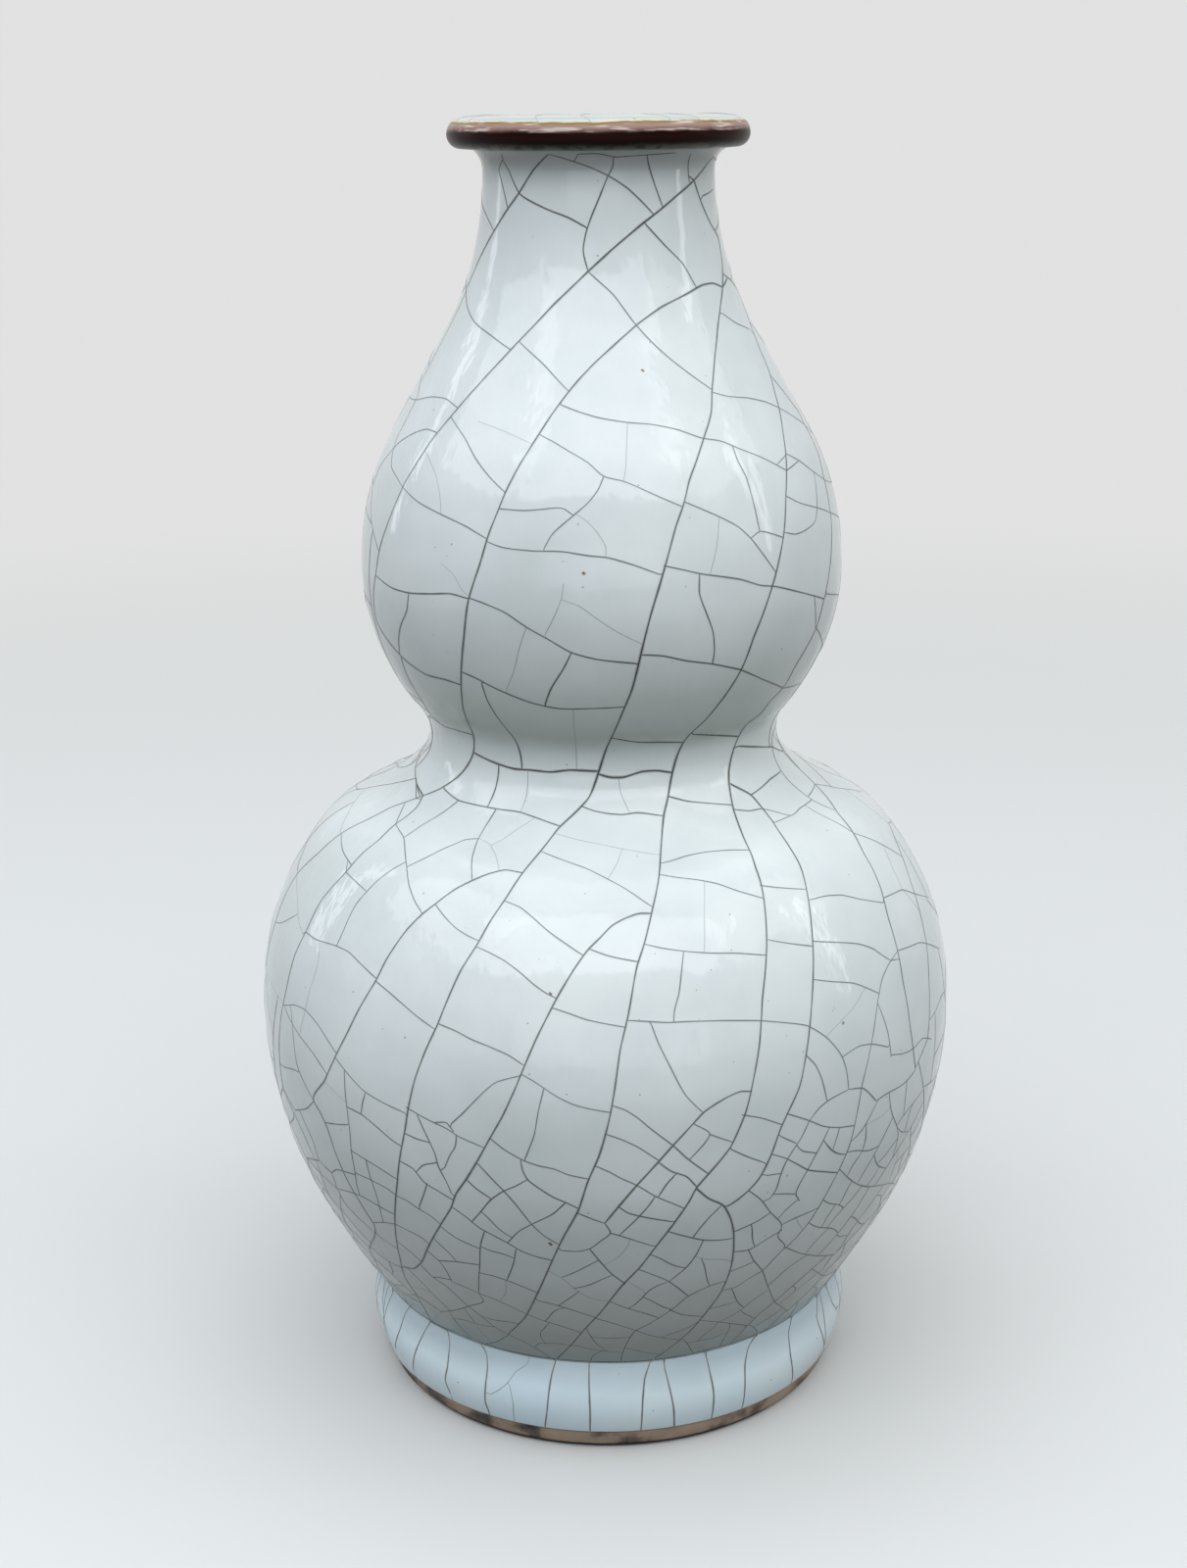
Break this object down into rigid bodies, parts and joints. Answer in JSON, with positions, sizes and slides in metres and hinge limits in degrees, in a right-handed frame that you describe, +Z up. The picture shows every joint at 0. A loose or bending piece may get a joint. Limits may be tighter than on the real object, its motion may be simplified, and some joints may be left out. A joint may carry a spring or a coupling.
{
  "type": "double gourd vase",
  "caption": "Double gourd vase: round lower and smaller upper bulb joined by a narrow waist, short neck with an overhanging lip, and a recessed foot ring.",
  "frame": {"origin": "centre of the foot's underside, on the surface that the vase stands on", "axes": "+Z up along the axis of the wheel; the vase is round, so X and Y are any two directions square to it"},
  "size_m": [0.144, 0.144, 0.26],
  "materials": {
    "glaze": "glossy pale blue-white crackle glaze over stoneware",
    "lip_glaze": "glossy crackle glaze with a dark brown iron band round the lip",
    "bare_clay": "glossy crackle glaze above a matt unglazed tan rim"
  },
  "bodies": {
    "root": {"foot_ring": "bare_clay", "lower_bowl": "glaze", "lower_shoulder": "glaze", "upper_bowl": "glaze", "upper_shoulder": "glaze", "mouth_rim": "lip_glaze"}
  },
  "joints": []
}
